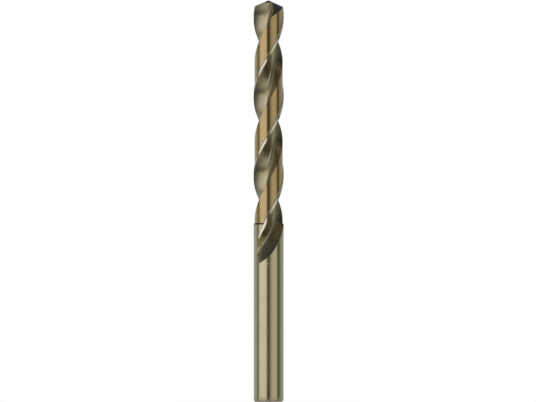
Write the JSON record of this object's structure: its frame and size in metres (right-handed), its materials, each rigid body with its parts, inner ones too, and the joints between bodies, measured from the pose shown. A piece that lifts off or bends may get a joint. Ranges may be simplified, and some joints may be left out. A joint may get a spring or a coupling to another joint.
{
  "type": "twist drill bit",
  "caption": "Round-shank twist drill with helical flutes, raised margins, ground conical flanks and a split point, for drilling metal.",
  "frame": {"origin": "centre of the flat end face of the shank, on the axis", "axes": "+Z along the axis from the shank end to the point; +X and +Y across it, with the lips at a bearing of 17 degrees from X"},
  "size_m": [0.01, 0.01, 0.133],
  "materials": {
    "ground_steel": "ground high-speed steel with a straw-gold temper tint, brighter on the margins"
  },
  "bodies": {
    "root": {"twist_drill": "ground_steel"}
  },
  "joints": []
}
